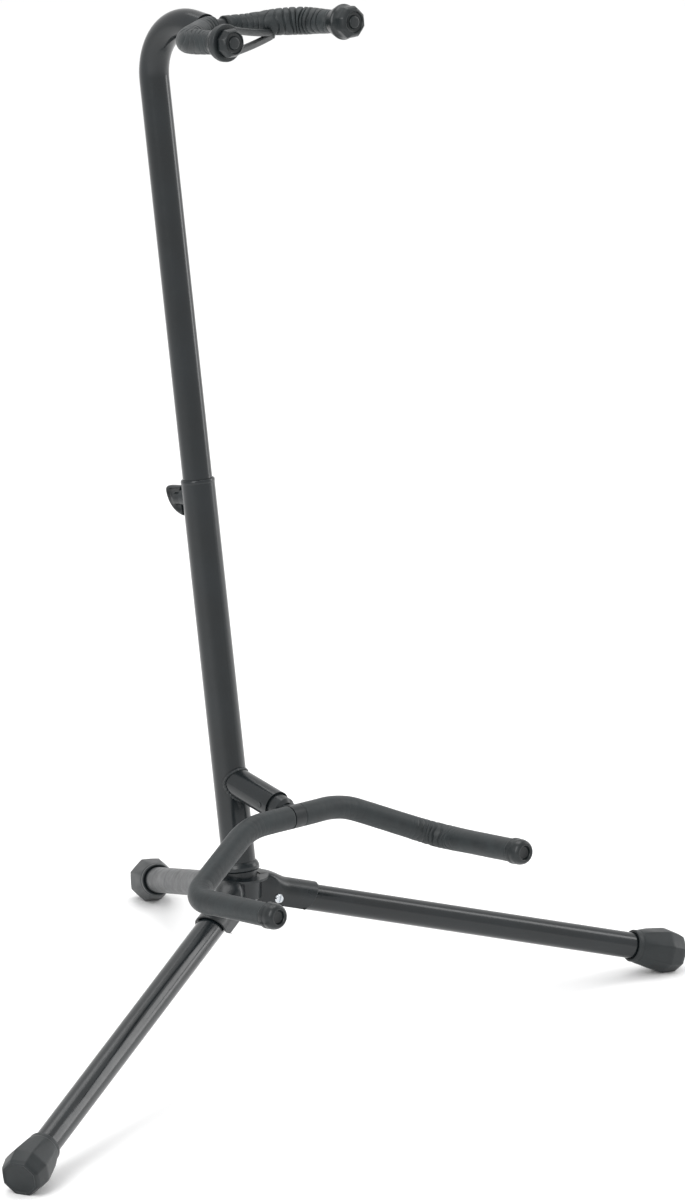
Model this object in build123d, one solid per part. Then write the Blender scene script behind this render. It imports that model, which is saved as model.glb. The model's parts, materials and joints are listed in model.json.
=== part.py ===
from build123d import *
import os
from math import sin, cos, tan, radians

# A folding stand for one fretted instrument: a telescopic mast on three swinging legs,
# a lower cradle for the body and an upper yoke with a rubber strap for the neck.
# Millimetres. The origin is on the floor, straight below the centre of the leg hub.
# +Z is up, the cradle opens towards -Y, +X is the side of the right leg.

# legs
leg_reach = 374.0          # hub centre to the widest ring of a foot, along the leg
leg_slope = 16.2           # degrees below level
leg_tube_d = 20.0
leg_tube_wall = 1.2
leg_turn = {"right": 77.4, "left": -65.2, "rear": 150.8}   # degrees from straight ahead

# rubber feet
foot_length = 40.0
foot_wall = 2.5            # rubber round the tube at the mouth
foot_widest_d = 32.5
foot_widest_at = 21.5      # from the mouth
foot_end_d = 27.0
foot_collar = 4.0          # plain round part at the mouth
foot_grip = 30.0           # how far the tube goes in
foot_flat = 0.6            # depth of the flat where the foot stands

# leg brackets: arched channels, open below, on the hub block
bracket_wall = 1.4
bracket_room = 0.6         # between a leg tube and its channel, all round
bracket_length = 61.5      # hub centre to the upper lip
bracket_cut_back = 8.0     # the lower edge of the cheeks stops this much short
bracket_cheek = 8.0        # depth of the cheeks below the tube's centre line
pivot_clear = 1.5          # more than a leg's radius between the pivot and the hub block
pivot_drop = 2.5           # below the tube's centre line
pivot_d = 4.0
pivot_head_d = 7.0
pivot_head_h = 2.5
pivot_nut_d = 8.1
pivot_nut_h = 3.2
tube_end_top = 1.5         # the bevelled inner end of a leg, back from the pivot
tube_end_low = 5.5

# hub
hub_block_d = 30.0
hub_block_low = -8.0
hub_block_top = 7.6
hub_plate_d = 40.0         # star plate on the block, under the mast's collar
hub_plate_t = 1.8
hub_edge = 1.0             # bevel round its foot
hub_bolt_d = 8.0
hub_bolt_head_d = 14.0
hub_bolt_head_h = 5.3
hub_bolt_length = 24.0
hub_washer_d = 20.0
hub_washer_t = 1.6
spigot_length = 26.0
hub_rivet_d = 4.0
rivet_head_r = 3.4
rivet_dome = 1.1           # its top above the mast's side
rivet_seat = 0.8           # its rim below it

# mast
mast_lean = 9.1            # degrees, backwards
lower_tube_d = 25.0
lower_tube_wall = 1.2
lower_tube_top = 306.0     # along the mast from the hub centre
tube_foot_gap = 0.7        # the tube's lowest edge above the hub block
upper_tube_wall = 1.2
upper_insert = 120.0       # length of upper tube inside the lower one, as set
neck_bend_start = 601.0
neck_bend_r = 42.0
neck_droop = 13.0          # degrees below square to the mast, at the tube's end
neck_tube_reach = 64.0     # end of the bent tube, forward of the mast's centre line
bush_head_h = 8.0
bush_stem = 22.0
bush_wall = 2.0

mast_collar_d = 29.6       # rounded ring where the mast stands on the plate
mast_collar_l = 7.0
collar_gap = 0.2           # its lowest edge above the plate

# height lock
lock_drop = 14.0           # below the lower tube's rim
lock_boss_d = 13.0
lock_boss_h = 5.0
lock_screw_d = 6.0
wing_thick = 5.0
wing_r = 18.5
wing_rise = 8.0
wing_hub_d = 10.0
wing_rim = 1.8
wing_recess = 1.3

# cradle for the body
cradle_bar_d = 12.0
cradle_sleeve_wall = 2.75
cradle_half_flat = 45.0    # half of the level middle
cradle_half_width = 119.0  # centre line of an arm
cradle_mid = (60.0, 67.8)      # forward, above the hub centre
cradle_corner = (85.0, 35.0)
cradle_tip = (167.8, 42.5)
cradle_bend_mid = 60.0
cradle_bend_corner = 22.0
strut_d = 22.0
strut_wall = 1.5
strut_at = 82.0            # along the mast
saddle_reach = 20.0        # from the strut's end to the bar, level
saddle_stem = 14.0
saddle_clear = 0.6         # between its plug and the sleeves
saddle_edge = 2.4
eye_half = 5.0             # half width of the eye round the bar, between the sleeves
saddle_rivet_d = 4.0

# yoke for the neck
neck_bar_d = 10.0
neck_sleeve_wall = 3.5
neck_half_flat = 14.0
neck_half_width = 56.7
neck_mid = (16.0, 2.0)         # ahead of the bent tube's end, and along the mast from it
neck_corner = (46.0, -2.0)
neck_tip = (78.5, -2.8)
neck_bend_mid = 22.0
neck_bend_corner = 18.0

# end caps and knobs
cap_d = 20.0
cap_length = 17.0
knob_foot_d = 18.6         # where it meets the sleeve
knob_flange_d = 26.0
knob_flange_t = 9.0        # flared part and flange together
knob_neck_d = 15.0
knob_neck_l = 5.6
knob_head_d = 21.0
knob_head_l = 8.0

# neck strap
strap_thick = 5.0
strap_ring_d = 27.6
strap_band = 4.2           # width of a strand
strap_hug = 1.8            # thickness of the ring round the sleeve
strap_hug_l = 7.0
strap_far_at = 37.0        # sideways place of its ring on the yoke

# clearances
slip = 0.05                # between pieces that are fixed together
running = 0.08             # pin or bush that turns or slides
open_gap = 0.3             # tube in tube

# worked out from the sizes above
lean = radians(mast_lean)
slope = radians(leg_slope)
foot_mouth_d = leg_tube_d + 2 * foot_wall
pivot_at = (hub_block_d + leg_tube_d) / 2 + pivot_clear
foot_mouth_at = leg_reach - foot_widest_at
foot_end_at = foot_mouth_at + foot_length
hub_height = foot_end_at * sin(slope) + foot_end_d / 2 * cos(slope) - foot_flat
lower_bore_d = lower_tube_d - 2 * lower_tube_wall
upper_tube_d = lower_bore_d - 2 * open_gap
upper_bore_d = upper_tube_d - 2 * upper_tube_wall
plate_top = hub_block_top + hub_plate_t
lower_tube_foot = (plate_top + tube_foot_gap + lower_tube_d / 2 * sin(lean)) / cos(lean)
collar_foot = (plate_top + collar_gap + mast_collar_d / 2 * sin(lean)) / cos(lean)
hub_rivet_at = lower_tube_foot + spigot_length * 0.6
strut_end = cradle_mid[0] - saddle_reach
cradle_sleeve_d = cradle_bar_d + 2 * cradle_sleeve_wall
neck_sleeve_d = neck_bar_d + 2 * neck_sleeve_wall
bend_corner = neck_bend_start + neck_bend_r * tan(radians(90 + neck_droop) / 2)
neck_tube_end = bend_corner - neck_tube_reach * tan(radians(neck_droop))
lock_at = lower_tube_top - lock_drop
upper_start = lower_tube_top - upper_insert
channel_r = leg_tube_d / 2 + bracket_room
bracket_r = channel_r + bracket_wall
big = 400.0


def mast_place(along, ahead=0.0, side=0.0):
    # a point given along the mast, square ahead of it and sideways
    y = along * sin(lean) - ahead * cos(lean)
    z = hub_height + along * cos(lean) + ahead * sin(lean)
    return Vector(side, y, z)


def hub_place(ahead, above, side=0.0):
    # a point given level ahead of the hub centre, above it and sideways
    return Vector(side, -ahead, hub_height + above)


mast_up = Vector(0, sin(lean), cos(lean))
mast_ahead = Vector(0, -cos(lean), sin(lean))
sideways = Vector(1, 0, 0)


def mast_plane(along=0.0):
    # local x is ahead of the mast, local z runs up it
    return Plane(origin=mast_place(along), x_dir=mast_ahead, z_dir=mast_up)


def leg_plane(turn):
    # local z runs out along the leg, local x points up, local y is its left flank
    level = Vector(sin(radians(turn)), -cos(radians(turn)), 0)
    out = level * cos(slope) - Vector(0, 0, 1) * sin(slope)
    up = level * sin(slope) + Vector(0, 0, 1) * cos(slope)
    return Plane(origin=(0, 0, hub_height), x_dir=up, z_dir=out)


def flat_plane(turn, height):
    # local x points level out along the leg, local z is up
    level = Vector(sin(radians(turn)), -cos(radians(turn)), 0)
    return Plane(origin=(0, 0, hub_height + height), x_dir=level, z_dir=(0, 0, 1))


def rod(radius, z0, z1):
    # a cylinder on the local z axis from z0 to z1
    return Pos(0, 0, (z0 + z1) / 2) * Cylinder(radius, z1 - z0)


def pipe(outer, inner, z0, z1):
    return rod(outer, z0, z1) - rod(inner, z0 - 1, z1 + 1)


def placed(plane, shape):
    return plane.location * shape


def bent_rod(points, radii, diameter):
    # a round rod along straight runs joined by tangent arcs
    path = FilletPolyline(*points, radius=radii)
    start = Plane(origin=path @ 0, z_dir=path % 0)
    return sweep(start * Circle(diameter / 2), path=path)


def turned(points):
    # a solid of revolution about local z from a half outline of (radius, height)
    outline = Plane.XZ * make_face(Polyline(*points, close=True))
    return revolve(outline, axis=Axis.Z)


def save(shape, name):
    solids = shape.solids()
    result = solids[0] if len(solids) == 1 else Compound(children=list(solids))
    export_step(result, "parts/" + name + ".step")


# ---- legs ----

def pivot_rod(radius, half):
    # across the leg through both cheeks, local z along the pivot
    return Pos(-pivot_drop, 0, pivot_at) * Rot(-90, 0, 0) * rod(radius, -half, half)


def leg_tube(turn):
    outer_end = foot_mouth_at + foot_grip
    tube = pipe(leg_tube_d / 2, leg_tube_d / 2 - leg_tube_wall, 0, outer_end)
    tilt = Vector(tube_end_top - tube_end_low, 0, leg_tube_d)
    middle = pivot_at - (tube_end_top + tube_end_low) / 2
    bevel = Plane(origin=(0, 0, middle), x_dir=(0, 1, 0), z_dir=-tilt)
    tube -= placed(bevel, Pos(0, 0, big / 2) * Box(big, big, big))
    return placed(leg_plane(turn), tube - pivot_rod(pivot_d / 2 + running, leg_tube_d))


def arch(radius, z0, z1, cheek):
    # a round top with straight sides down to the cheek's depth
    sides = Pos(-cheek / 2, 0, (z0 + z1) / 2) * Box(cheek, 2 * radius, z1 - z0)
    top = rod(radius, z0, z1) - Pos(-big / 2, 0, 0) * Box(big, big, 2 * big)
    return top + sides


def leg_bracket(turn):
    channel = arch(bracket_r, 0, bracket_length, bracket_cheek)
    channel -= arch(channel_r, -1, bracket_length + 1, 2 * bracket_cheek)
    depth = bracket_r + bracket_cheek
    lip = Plane(origin=(bracket_r, 0, bracket_length), x_dir=(0, 1, 0),
                z_dir=(-bracket_cut_back, 0, depth))
    channel -= placed(lip, Pos(0, 0, big / 2) * Box(big, big, big))
    channel -= pivot_rod(pivot_d / 2 + slip, leg_tube_d)
    cut = placed(leg_plane(turn), channel) - hub_body(-big)
    for other in leg_turn.values():
        # neighbours are mitred half way between their two directions
        apart = (other - turn + 180) % 360 - 180
        if apart:
            beyond = Pos(0, (big / 2 - slip) * (1 if apart > 0 else -1), 0) * Box(big, big, big)
            cut -= placed(flat_plane(turn + apart / 2, 0), Pos(big / 2, 0, 0) * beyond)
    return cut.solids().sort_by(lambda piece: piece.volume)[-1]


def leg_pivot(turn):
    # a slotted pan head on the left flank
    head_r = pivot_head_d / 2
    head = turned([(0, 0), (head_r, 0), (head_r, 1.0), (head_r * 0.8, pivot_head_h - 0.4),
                   (0, pivot_head_h)])
    head -= Pos(0, 0, pivot_head_h) * Box(pivot_head_d * 1.2, 0.9, 1.8)
    bolt = rod(pivot_d / 2, -bracket_r - pivot_nut_h - 1, bracket_r)
    bolt += Pos(0, 0, bracket_r) * head
    return placed(leg_plane(turn), Pos(-pivot_drop, 0, pivot_at) * Rot(-90, 0, 0) * bolt)


def leg_nut(turn):
    nut = extrude(Pos(0, 0, -bracket_r - pivot_nut_h) * RegularPolygon(pivot_nut_d / 2, 6),
                  pivot_nut_h)
    nut -= rod(pivot_d / 2 + slip, -big, 0)
    return placed(leg_plane(turn), Pos(-pivot_drop, 0, pivot_at) * Rot(-90, 0, 0) * nut)


def foot(turn):
    rings = [(foot_mouth_d, 0.0), (foot_mouth_d, foot_collar),
             (foot_widest_d, foot_widest_at), (foot_end_d, foot_length)]
    body = rod(foot_mouth_d / 2, 0, foot_collar)
    for (d0, z0), (d1, z1) in zip(rings[1:-1], rings[2:]):
        body += loft([Pos(0, 0, z0) * eight_sided(d0), Pos(0, 0, z1) * eight_sided(d1)],
                     ruled=True)
    body = chamfer(body.edges().group_by(Axis.Z)[-1], 1.6)
    body -= rod(leg_tube_d / 2 + slip, -1, foot_grip + slip)
    body = placed(leg_plane(turn), Pos(0, 0, foot_mouth_at) * body)
    return body - Pos(0, 0, -big / 2) * Box(4 * big, 4 * big, big)


def eight_sided(across_flats):
    corner = across_flats / 2 / cos(radians(22.5))
    return Rot(0, 0, 22.5) * RegularPolygon(corner, 8)


# ---- hub ----

def hub_body(low):
    # the round block, and the plate on top of it
    return placed(flat_plane(0, 0), rod(hub_block_d / 2, low, hub_block_top)
                  + rod(hub_plate_d / 2, hub_block_top, plate_top))


def hub_block():
    block = hub_body(hub_block_low)
    block = chamfer(block.edges().group_by(Axis.Z)[0], hub_edge)
    lean_foot = placed(mast_plane(), rod(lower_tube_d / 2, 0, lower_tube_foot))
    spigot = placed(mast_plane(), rod(lower_bore_d / 2 - slip, 0, lower_tube_foot + spigot_length))
    below = placed(flat_plane(0, hub_block_low - big / 2), Box(big, big, big))
    block = block + lean_foot + spigot - below
    block -= placed(flat_plane(0, 0), rod(hub_bolt_d / 2 + slip, hub_block_low - 1,
                                          hub_block_low + hub_bolt_length + 1))
    return block - hub_rivet_rod(hub_rivet_d / 2 + slip, lower_tube_d)


def hub_rivet_rod(radius, half):
    place = Plane(origin=mast_place(hub_rivet_at), z_dir=sideways)
    return placed(place, rod(radius, -half, half))


def hub_rivet():
    # a domed head on each side of the mast, hollowed to sit on it
    half = lower_tube_d / 2
    dome = turned([(0, -rivet_seat), (rivet_head_r, -rivet_seat), (rivet_head_r * 0.8, 0.6),
                   (0, rivet_dome)])
    heads = Pos(0, 0, half) * dome + Pos(0, 0, -half) * Rot(180, 0, 0) * dome
    heads = placed(Plane(origin=mast_place(hub_rivet_at), z_dir=sideways), heads)
    heads -= placed(mast_plane(hub_rivet_at), rod(half, -rivet_head_r * 2, rivet_head_r * 2))
    return heads + hub_rivet_rod(hub_rivet_d / 2, half)


def hub_washer():
    washer = pipe(hub_washer_d / 2, hub_bolt_d / 2 + slip,
                  hub_block_low - hub_washer_t, hub_block_low)
    return placed(flat_plane(0, 0), washer)


def hub_bolt():
    under = hub_block_low - hub_washer_t
    head = extrude(Pos(0, 0, under - hub_bolt_head_h) * RegularPolygon(hub_bolt_head_d / 2, 6),
                   hub_bolt_head_h)
    stem = rod(hub_bolt_d / 2, under, hub_block_low + hub_bolt_length)
    return placed(flat_plane(0, 0), head + stem)


# ---- mast ----

def lower_mast_tube():
    tube = placed(mast_plane(), pipe(lower_tube_d / 2, lower_bore_d / 2,
                                     lower_tube_foot, lower_tube_top))
    tube -= hub_rivet_rod(hub_rivet_d / 2 + slip, lower_tube_d)
    return tube - lock_rod(lock_screw_d / 2 + slip, 0, lower_tube_d)


def mast_collar():
    outer, inner = mast_collar_d / 2, lower_tube_d / 2 + slip
    ring = turned([(inner, 0), (outer - 1.2, 0), (outer, 1.2), (outer, mast_collar_l - 3.4),
                   (outer - 0.9, mast_collar_l - 1.2), (inner + 0.4, mast_collar_l),
                   (inner, mast_collar_l)])
    return placed(mast_plane(collar_foot), ring)


def lock_plane():
    # local z points backwards from the mast, local x up along it
    return Plane(origin=mast_place(lock_at), x_dir=mast_up, z_dir=mast_ahead * -1)


def lock_rod(radius, z0, z1):
    return placed(lock_plane(), rod(radius, z0, z1))


def lock_boss():
    outer = lower_tube_d / 2
    boss = rod(lock_boss_d / 2, 0, outer + lock_boss_h)
    boss = placed(lock_plane(), boss) - placed(mast_plane(), rod(outer + 0.01, 0, big))
    return boss - lock_rod(lock_screw_d / 2 + running, 0, 40)


def lock_screw():
    tip = upper_tube_d / 2 + open_gap
    return lock_rod(lock_screw_d / 2, tip, lower_tube_d / 2 + lock_boss_h + 9)


def lock_knob():
    base = lower_tube_d / 2 + lock_boss_h + open_gap
    hub = rod(wing_hub_d / 2, base, base + 9)
    centre = (wing_rise, base - 3)
    disc = Cylinder(wing_r, wing_thick) - Pos(0, 0, wing_thick / 2) \
        * Cylinder(wing_r - wing_rim, 2 * wing_recess)
    disc -= Pos(0, 0, -wing_thick / 2) * Cylinder(wing_r - wing_rim, 2 * wing_recess)
    disc = Pos(centre[0], 0, centre[1]) * Rot(90, 0, 0) * disc
    keep = Pos(-big / 2 + wing_rise + 2, 0, base + big / 2) * Box(big, big, big)
    rim = Box(wing_rim, wing_thick, wing_r)
    top = Pos(wing_rise + 2 - wing_rim / 2, 0, base + wing_r / 2) * rim
    wing = (disc & keep) + (top & (Pos(centre[0], 0, centre[1]) * Rot(90, 0, 0)
                                   * Cylinder(wing_r, wing_thick)))
    knob = placed(lock_plane(), hub + wing)
    return knob - lock_rod(lock_screw_d / 2 + slip, 0, base + 9 - open_gap)


def neck_path():
    # along the mast, then forward over the bend with a slight droop
    return [mast_place(upper_start), mast_place(bend_corner),
            mast_place(neck_tube_end, neck_tube_reach)]


def yoke_place(spot, side=0.0):
    # a point of the neck yoke, given from the bent tube's end
    return mast_place(neck_tube_end + spot[1], neck_tube_reach + spot[0], side)


def upper_mast_tube():
    outer = bent_rod(neck_path(), neck_bend_r, upper_tube_d)
    bore = bent_rod(neck_path(), neck_bend_r, upper_bore_d)
    return outer - bore


def mast_guide_bush():
    head = rod(lower_bore_d / 2 - running, upper_start - bush_head_h - open_gap,
               upper_start - open_gap)
    stem = rod(upper_bore_d / 2 - running, upper_start - open_gap, upper_start + bush_stem)
    hole = rod(upper_bore_d / 2 - bush_wall, upper_start - 50, upper_start + 50)
    return placed(mast_plane(), head + stem - hole)


# ---- saddles that hold the two bars ----

def saddle(tube_end, forward, bar, tube_bore_d, sleeve_d):
    # a lug: a plug in the tube, up to the sleeves, and an eye round the bar between them
    reach = (bar - tube_end).dot(forward)
    plug_r = tube_bore_d / 2 - slip
    plug_end = reach - sleeve_d / 2 - saddle_clear
    place = Plane(origin=tube_end, x_dir=sideways, z_dir=forward)
    plug = turned([(0, -saddle_stem), (plug_r, -saddle_stem), (plug_r, plug_end - saddle_edge),
                   (plug_r - saddle_edge, plug_end), (0, plug_end)])
    web = Pos(0, 0, (plug_end - 1 + reach) / 2) * Box(2 * eye_half, sleeve_d * 0.7,
                                                      reach - plug_end + 1)
    eye = Pos(0, 0, reach) * Rot(0, 90, 0) * rod(sleeve_d / 2, -eye_half, eye_half)
    return placed(place, plug + web + eye)


def strut_ends():
    start = mast_place(strut_at)
    bar = hub_place(*cradle_mid)
    forward = (bar - start).normalized()
    length = (strut_end + start.Y) / -forward.Y
    return start, start + forward * length, forward, bar


def cradle_strut():
    start, end, forward, bar = strut_ends()
    place = Plane(origin=start, x_dir=sideways, z_dir=forward)
    tube = placed(place, pipe(strut_d / 2, strut_d / 2 - strut_wall, 0, (end - start).length))
    tube -= placed(mast_plane(), rod(lower_tube_d / 2 + 0.01, 0, big))
    return tube - saddle_rivet_rod(saddle_rivet_d / 2 + slip, strut_d)


def saddle_rivet_rod(radius, half):
    start, end, forward, bar = strut_ends()
    place = Plane(origin=end - forward * saddle_stem * 0.5, z_dir=sideways)
    return placed(place, rod(radius, -half, half))


def cradle_saddle():
    start, end, forward, bar = strut_ends()
    body = saddle(end, forward, bar, strut_d - 2 * strut_wall, cradle_sleeve_d)
    body -= bent_cradle(cradle_bar_d + 2 * slip)
    return body - saddle_rivet_rod(saddle_rivet_d / 2 + slip, strut_d)


def saddle_rivet():
    return saddle_rivet_rod(saddle_rivet_d / 2, strut_d / 2 + 0.4)


def neck_saddle():
    points = neck_path()
    forward = (points[2] - points[1]).normalized()
    body = saddle(points[2], forward, yoke_place(neck_mid), upper_bore_d, neck_sleeve_d)
    return body - bent_neck(neck_bar_d + 2 * slip)


# ---- cradle ----

def cradle_points():
    half = [hub_place(*cradle_mid, cradle_half_flat),
            hub_place(*cradle_corner, cradle_half_width),
            hub_place(*cradle_tip, cradle_half_width)]
    mirror = [Vector(-p.X, p.Y, p.Z) for p in half]
    return mirror[::-1] + half


def bent_cradle(diameter):
    radii = [cradle_bend_corner, cradle_bend_mid, cradle_bend_mid, cradle_bend_corner]
    return bent_rod(cradle_points(), radii, diameter)


def neck_points():
    half = [yoke_place(neck_mid, neck_half_flat), yoke_place(neck_corner, neck_half_width),
            yoke_place(neck_tip, neck_half_width)]
    mirror = [Vector(-p.X, p.Y, p.Z) for p in half]
    return mirror[::-1] + half


def bent_neck(diameter):
    radii = [neck_bend_corner, neck_bend_mid, neck_bend_mid, neck_bend_corner]
    return bent_rod(neck_points(), radii, diameter)


def sleeve(outer, inner, sign):
    side = Pos(sign * (big / 2 + eye_half + slip), 0, big) * Box(big, 3 * big, 3 * big)
    return (outer - inner) & side


def tip_plane(points, sign):
    # local z points out of the end of an arm
    tip, before = (points[-1], points[-2]) if sign > 0 else (points[0], points[1])
    return Plane(origin=tip, x_dir=sideways, z_dir=(tip - before).normalized())


def end_cap(plane):
    r = cap_d / 2
    body = turned([(0, 0), (r - 0.6, 0), (r, 0.8), (r, 5), (r - 0.5, 9.0), (r - 2.2, 12.5),
                   (r - 3.2, 13.4), (r - 5, 13.4), (r - 5.6, 12.2), (0, 12.2)])
    return placed(plane, body)


def knob(plane):
    # flared from the sleeve to a flange, a neck for the strap, and a round head
    foot_r, flange = knob_foot_d / 2, knob_flange_d / 2
    neck, head = knob_neck_d / 2, knob_head_d / 2
    z1 = knob_flange_t
    z2 = z1 + knob_neck_l
    z3 = z2 + knob_head_l
    body = turned([(0, 0), (foot_r, 0), (foot_r + 0.6, z1 * 0.2), (flange - 0.7, z1 * 0.6),
                   (flange, z1 - 2.8), (flange, z1 - 1.2), (flange - 1.2, z1), (neck, z1),
                   (neck, z2), (head - 0.8, z2), (head, z2 + 1), (head, z2 + 2.6),
                   (head - 1.4, z3 - 2.0), (head - 3.6, z3 - 0.3), (head - 5, z3 - 0.3),
                   (head - 5.6, z3 - 1.4), (4.2, z3 - 1.4), (3.4, z3 - 0.2), (0, z3)])
    return placed(plane, body)


def neck_strap():
    # a ring on the left knob, and two strands to the foot of a ring round the right sleeve
    left = tip_plane(neck_points(), -1)
    ring_at = knob_flange_t + knob_neck_l / 2
    ring = placed(left, pipe(strap_ring_d / 2, knob_neck_d / 2 + slip,
                             ring_at - strap_thick / 2, ring_at + strap_thick / 2))
    centre = left.from_local_coords((0, 0, ring_at))
    share = (strap_far_at - neck_half_flat) / (neck_half_width - neck_half_flat)
    mid = neck_points()[3]
    corner = neck_points()[4]
    far = mid + (corner - mid) * share
    hug_r = neck_sleeve_d / 2 + strap_hug
    hug = placed(Plane(origin=far, z_dir=(corner - mid).normalized()),
                 pipe(hug_r, neck_sleeve_d / 2 + slip, -strap_hug_l / 2, strap_hug_l / 2))
    across = (far - centre).normalized()
    lift = across.cross(Vector(0, 0, 1)).cross(across).normalized()
    knuckle = far - across * (hug_r * 0.3) - lift * hug_r
    body = ring + hug
    body += placed(Plane(origin=knuckle, x_dir=across, z_dir=across.cross(lift)),
                   rod(strap_band * 0.8, -strap_thick / 2, strap_thick / 2))
    for top in (1, -1):
        a = centre + lift * (top * (strap_ring_d / 2 - strap_band * 0.6))
        b = knuckle + lift * (top * strap_band * 0.25)
        run = Plane(origin=a, x_dir=lift, z_dir=(b - a).normalized())
        start = strap_ring_d * 0.29
        strand = Pos(0, 0, ((b - a).length + start) / 2) \
            * Box(strap_band, strap_thick, (b - a).length - start)
        body += placed(run, strand)
    body -= knob(left)
    body -= bent_neck(neck_sleeve_d + 2 * slip)
    return body.solids().sort_by(lambda piece: piece.volume)[-1]


# ---- write one file per piece ----

os.makedirs("parts", exist_ok=True)
for side, turn in leg_turn.items():
    save(leg_tube(turn), "leg_tube_" + side)
    save(leg_bracket(turn), "leg_bracket_" + side)
    save(leg_pivot(turn), "leg_pivot_" + side)
    save(leg_nut(turn), "leg_nut_" + side)
    save(foot(turn), "foot_" + side)

save(hub_block(), "hub_block")
save(hub_rivet(), "hub_rivet")
save(hub_washer(), "hub_washer")
save(hub_bolt(), "hub_bolt")
save(lower_mast_tube(), "lower_mast_tube")
save(mast_collar(), "mast_collar")
save(lock_boss(), "lock_boss")
save(lock_screw(), "lock_screw")
save(lock_knob(), "lock_knob")
save(upper_mast_tube(), "upper_mast_tube")
save(mast_guide_bush(), "mast_guide_bush")
save(cradle_strut(), "cradle_strut")
save(cradle_saddle(), "cradle_saddle")
save(saddle_rivet(), "saddle_rivet")
save(neck_saddle(), "neck_saddle")

save(bent_cradle(cradle_bar_d), "cradle_bar")
save(bent_neck(neck_bar_d), "neck_bar")
for sign, side in ((1, "right"), (-1, "left")):
    save(sleeve(bent_cradle(cradle_sleeve_d), bent_cradle(cradle_bar_d + 2 * slip), sign),
         "cradle_sleeve_" + side)
    save(sleeve(bent_neck(neck_sleeve_d), bent_neck(neck_bar_d + 2 * slip), sign),
         "neck_sleeve_" + side)
    save(end_cap(tip_plane(cradle_points(), sign)), "cradle_cap_" + side)
    save(knob(tip_plane(neck_points(), sign)), "neck_knob_" + side)
save(neck_strap(), "neck_strap")
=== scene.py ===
import json
import math

import bmesh
import bpy
import numpy as np
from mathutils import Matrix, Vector


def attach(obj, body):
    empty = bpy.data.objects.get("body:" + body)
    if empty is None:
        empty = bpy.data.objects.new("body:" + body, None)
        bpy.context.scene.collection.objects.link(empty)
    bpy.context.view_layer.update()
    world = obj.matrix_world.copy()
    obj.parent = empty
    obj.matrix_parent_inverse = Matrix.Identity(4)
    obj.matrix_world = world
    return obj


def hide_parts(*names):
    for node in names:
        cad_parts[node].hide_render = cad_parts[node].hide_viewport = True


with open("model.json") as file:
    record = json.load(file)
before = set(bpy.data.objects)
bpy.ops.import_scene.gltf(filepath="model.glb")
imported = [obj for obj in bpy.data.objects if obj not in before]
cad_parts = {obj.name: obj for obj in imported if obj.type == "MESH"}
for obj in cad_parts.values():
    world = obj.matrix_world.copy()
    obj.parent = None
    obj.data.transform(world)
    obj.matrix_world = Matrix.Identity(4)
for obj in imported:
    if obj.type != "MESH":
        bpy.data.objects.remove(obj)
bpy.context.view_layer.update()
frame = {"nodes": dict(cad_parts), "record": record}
nodes = frame["nodes"]
print("frame loaded:", len(nodes), "nodes")

mm = 0.001
sides = {"right": 1, "left": -1}

# What a user would change about the view.
viewSettings = {
    "turn": 41.158,      # degrees the camera stands round to the left of the front
    "tilt": 15.464,      # degrees it looks down
    "distance": 6.325,   # metres from the hub, measured along the view
    "aimSide": 0.0747,   # the middle of the view, to the right of the hub
    "aimRise": 0.2120,   # and above it, both square to the view
    "hubHeight": 0.12187,
    "lens": 256.2,       # millimetres, as the sensor's width is
    "sensor": 36.0,
    "farthest": 50.0,
}


def makeCamera(s):
    turn, tilt = math.radians(s["turn"]), math.radians(s["tilt"])
    level = Vector((math.sin(turn), math.cos(turn), 0))
    right = Vector((math.cos(turn), -math.sin(turn), 0))
    forward = level * math.cos(tilt) - Vector((0, 0, math.sin(tilt)))
    up = level * math.sin(tilt) + Vector((0, 0, math.cos(tilt)))
    aim = Vector((0, 0, s["hubHeight"])) + right * s["aimSide"] + up * s["aimRise"]
    data = bpy.data.cameras.new("camera")
    data.lens = s["lens"]
    data.sensor_width = s["sensor"]
    data.clip_end = s["farthest"]
    camera = bpy.data.objects.new("camera", data)
    camera.location = aim - forward * s["distance"]
    camera.rotation_euler = forward.to_track_quat("-Z", "Y").to_euler()
    bpy.context.collection.objects.link(camera)
    bpy.context.scene.camera = camera


makeCamera(viewSettings)

# Power in watts, size and place in metres, and the point that each lamp faces.
lightSettings = {
    "key": {"power": 46, "size": (1.2, 2.6), "place": (-2.4, -0.6, 2.2), "faces": (0, 0, 0.4)},
    "fill": {"power": 20, "size": (0.8, 2.4), "place": (2.6, -1.0, 1.3), "faces": (0, 0, 0.4)},
    "top": {"power": 24, "size": (1.8, 1.8), "place": (0.4, 0.8, 3.0), "faces": (0, 0, 0.3)},
}
roomLight = 0.96   # the even white light from all round


def makeLights(settings):
    for name, s in settings.items():
        data = bpy.data.lights.new(name, "AREA")
        data.shape = "RECTANGLE"
        data.energy = s["power"]
        data.size, data.size_y = s["size"]
        light = bpy.data.objects.new(name, data)
        light.location = s["place"]
        aim = Vector(s["faces"]) - light.location
        light.rotation_euler = aim.to_track_quat("-Z", "Y").to_euler()
        bpy.context.collection.objects.link(light)
    world = bpy.data.worlds.new("studio")
    bpy.context.scene.world = world
    world.use_nodes = True
    background = world.node_tree.nodes["Background"]
    background.inputs["Color"].default_value = (1, 1, 1, 1)
    background.inputs["Strength"].default_value = roomLight


makeLights(lightSettings)
bpy.context.scene.view_settings.view_transform = "Standard"   # the paper stays white
print("camera and lights made")


# Materials. Every pattern is in Object coordinates, which are metres.

def linearColor(hexText):
    # sRGB hex to linear light: a straight part near black, a 2.4 power above it
    parts = np.array([int(hexText[i:i + 2], 16) for i in (1, 3, 5)]) / 255
    low = parts / 12.92
    high = ((parts + 0.055) / 1.055) ** 2.4
    return (*np.where(parts <= 0.04045, low, high).tolist(), 1.0)


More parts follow.
